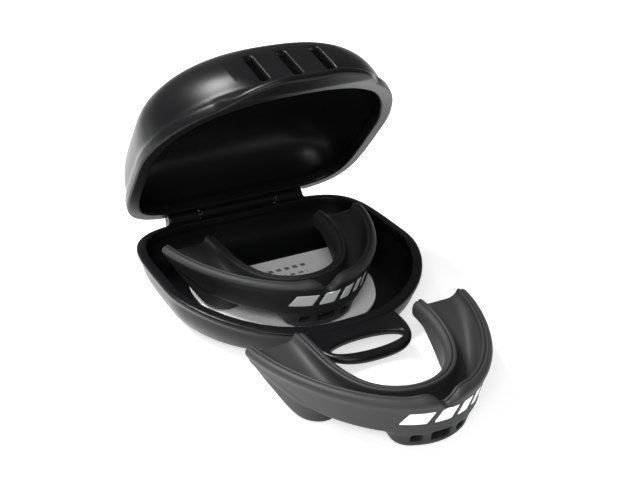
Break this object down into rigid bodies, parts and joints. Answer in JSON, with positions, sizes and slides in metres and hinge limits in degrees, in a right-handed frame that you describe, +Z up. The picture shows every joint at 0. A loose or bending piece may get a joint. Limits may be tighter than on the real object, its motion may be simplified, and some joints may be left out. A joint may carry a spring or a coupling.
{
  "type": "mouthguard with case",
  "caption": "Boil-and-bite mouthguard in a domed clamshell carry case with a hinged lid and a carry loop, and the same guard again lying in front of it.",
  "frame": {"origin": "middle of the case's flat underside", "axes": "+Z up, -Y towards the front of the case, where the lid opens and the carry loop is; +X to the right as seen from the front"},
  "size_m": [0.0745, 0.1243, 0.0712],
  "materials": {
    "case_plastic": "moulded black plastic, satin gloss",
    "pin_steel": "plain drawn wire",
    "card_print": "coated white card, printed grey and black",
    "guard_shell_rubber": "matt black thermoplastic rubber",
    "guard_liner_rubber": "soft satin black lining"
  },
  "bodies": {
    "base": {"case_base": "case_plastic", "hinge_pin": "pin_steel", "carry_loop": "case_plastic", "insert_card": "card_print"},
    "lid": {"case_lid": "case_plastic"},
    "stored_guard": {"stored_guard_shell": "guard_shell_rubber", "stored_guard_liner": "guard_liner_rubber"},
    "loose_guard": {"loose_guard_shell": "guard_shell_rubber", "loose_guard_liner": "guard_liner_rubber"}
  },
  "joints": [
    {"name": "lid_hinge", "type": "hinge", "parent": "base", "child": "lid", "pos_m": [0, 0.0367, 0.01315], "axis": [-1, 0, 0], "range_deg": [-49, 49]},
    {"name": "stored_guard_lift", "type": "slide", "parent": "base", "child": "stored_guard", "axis": [0, 0, 1], "range_m": [0, 0.0025]},
    {"name": "loose_guard_lift", "type": "slide", "parent": "base", "child": "loose_guard", "axis": [0, 0, 1], "range_m": [0, 0.06]}
  ]
}
